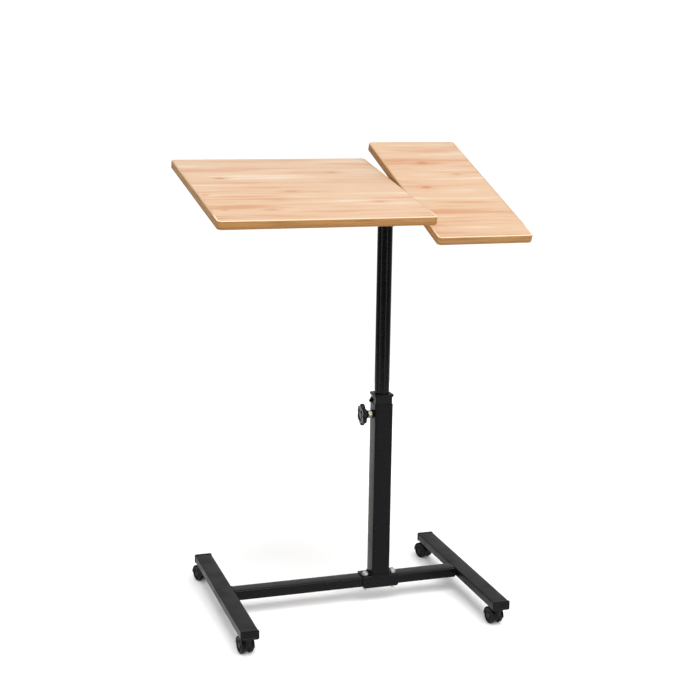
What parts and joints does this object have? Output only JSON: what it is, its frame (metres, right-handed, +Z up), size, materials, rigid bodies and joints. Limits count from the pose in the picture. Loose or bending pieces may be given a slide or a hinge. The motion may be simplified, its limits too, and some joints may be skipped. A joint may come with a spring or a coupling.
{
  "type": "adjustable computer table",
  "caption": "Wheeled laptop table with a large and a small wood-look top that tilt separately, on a telescopic mast with a star-knob clamp.",
  "frame": {"origin": "on the floor, under the middle of the two tops' total width and near the middle of the legs' length", "axes": "+X to the right along the tops' width, +Y to the back, +Z up"},
  "size_m": [0.561, 0.4125, 0.8662],
  "materials": {
    "black_steel": "black fine-textured powder coat, semi-matte",
    "black_plastic": "moulded black plastic, fine grain",
    "wheel_plastic": "hard black wheel plastic, slightly scuffed",
    "zinc": "bright zinc plating",
    "laminate": "light wood-look laminate on particle board, satin",
    "edge_band": "golden brown plastic edge band, satin"
  },
  "bodies": {
    "base": {"left_leg": "black_steel", "right_leg": "black_steel", "leg_end_caps": "black_plastic", "crossbar": "black_steel", "mast_saddle": "black_steel", "foot_bolts": "zinc", "foot_washers": "zinc", "foot_nuts": "zinc", "lower_mast": "black_steel", "mast_collar": "black_plastic", "clamp_boss": "black_steel", "clamp_nut": "zinc", "caster_sockets": "black_plastic"},
    "lift": {"glide_plug": "black_plastic"},
    "head": {"upper_mast": "black_steel", "mast_head": "black_steel", "head_bolts": "zinc", "head_nuts": "zinc", "pivot_tube": "black_steel", "pivot_caps": "black_plastic"},
    "main_desk": {"main_top": "laminate", "main_edge_band": "edge_band", "main_left_block": "black_plastic", "main_right_block": "black_plastic", "main_block_screws": "zinc", "main_clamp_nut": "zinc"},
    "side_desk": {"side_top": "laminate", "side_edge_band": "edge_band", "side_left_block": "black_plastic", "side_right_block": "black_plastic", "side_block_screws": "zinc", "side_clamp_nut": "zinc"},
    "height_clamp": {"height_knob": "black_plastic", "height_knob_screw": "zinc"},
    "main_tilt_clamp": {"main_tilt_knob": "black_plastic", "main_tilt_screw": "zinc"},
    "side_tilt_clamp": {"side_tilt_knob": "black_plastic", "side_tilt_screw": "zinc"},
    "caster_fl_swivel": {"caster_fl_stem": "zinc", "caster_fl_hood": "black_plastic"},
    "caster_fl_roll": {"caster_fl_wheels": "wheel_plastic", "caster_fl_axle": "zinc"},
    "caster_fr_swivel": {"caster_fr_stem": "zinc", "caster_fr_hood": "black_plastic"},
    "caster_fr_roll": {"caster_fr_wheels": "wheel_plastic", "caster_fr_axle": "zinc"},
    "caster_bl_swivel": {"caster_bl_stem": "zinc", "caster_bl_hood": "black_plastic"},
    "caster_bl_roll": {"caster_bl_wheels": "wheel_plastic", "caster_bl_axle": "zinc"},
    "caster_br_swivel": {"caster_br_stem": "zinc", "caster_br_hood": "black_plastic"},
    "caster_br_roll": {"caster_br_wheels": "wheel_plastic", "caster_br_axle": "zinc"}
  },
  "joints": [
    {"name": "height_slide", "type": "slide", "parent": "base", "child": "lift", "axis": [0, 0, 1], "range_m": [-0.15, 0.1]},
    {"name": "mast_swivel", "type": "hinge", "parent": "lift", "child": "head", "pos_m": [0.0785, 0.003, 0.3705], "axis": [0, 0, 1], "continuous": true},
    {"name": "main_tilt", "type": "hinge", "parent": "head", "child": "main_desk", "pos_m": [-0.09, 0.003, 0.759], "axis": [1, 0, 0], "range_deg": [-10, 20]},
    {"name": "side_tilt", "type": "hinge", "parent": "head", "child": "side_desk", "pos_m": [0.1915, 0.003, 0.759], "axis": [1, 0, 0], "range_deg": [-20, 10]},
    {"name": "height_knob_turn", "type": "hinge", "parent": "base", "child": "height_clamp", "pos_m": [0.0585, 0.003, 0.3705], "axis": [-1, 0, 0], "range_deg": [0, 540]},
    {"name": "main_tilt_knob_turn", "type": "hinge", "parent": "main_desk", "child": "main_tilt_clamp", "pos_m": [-0.1745, 0.003, 0.759], "axis": [0, -0.9848, -0.1736], "range_deg": [0, 540]},
    {"name": "side_tilt_knob_turn", "type": "hinge", "parent": "side_desk", "child": "side_tilt_clamp", "pos_m": [0.2345, 0.003, 0.759], "axis": [0, -0.9397, -0.342], "range_deg": [0, 540]},
    {"name": "caster_fl_swivel_joint", "type": "hinge", "parent": "base", "child": "caster_fl_swivel", "pos_m": [-0.225, -0.178, 0.035], "axis": [0, 0, 1], "continuous": true},
    {"name": "caster_fl_axle_joint", "type": "hinge", "parent": "caster_fl_swivel", "child": "caster_fl_roll", "pos_m": [-0.22667, -0.16612, 0.015], "axis": [0.9903, 0.1392, 0], "continuous": true},
    {"name": "caster_fr_swivel_joint", "type": "hinge", "parent": "base", "child": "caster_fr_swivel", "pos_m": [0.25, -0.178, 0.035], "axis": [0, 0, 1], "continuous": true},
    {"name": "caster_fr_axle_joint", "type": "hinge", "parent": "caster_fr_swivel", "child": "caster_fr_roll", "pos_m": [0.24833, -0.16612, 0.015], "axis": [0.9903, 0.1392, 0], "continuous": true},
    {"name": "caster_bl_swivel_joint", "type": "hinge", "parent": "base", "child": "caster_bl_swivel", "pos_m": [-0.225, 0.178, 0.035], "axis": [0, 0, 1], "continuous": true},
    {"name": "caster_bl_axle_joint", "type": "hinge", "parent": "caster_bl_swivel", "child": "caster_bl_roll", "pos_m": [-0.2291, 0.18928, 0.015], "axis": [0.9397, 0.342, 0], "continuous": true},
    {"name": "caster_br_swivel_joint", "type": "hinge", "parent": "base", "child": "caster_br_swivel", "pos_m": [0.25, 0.178, 0.035], "axis": [0, 0, 1], "continuous": true},
    {"name": "caster_br_axle_joint", "type": "hinge", "parent": "caster_br_swivel", "child": "caster_br_roll", "pos_m": [0.2459, 0.18928, 0.015], "axis": [0.9397, 0.342, 0], "continuous": true}
  ]
}
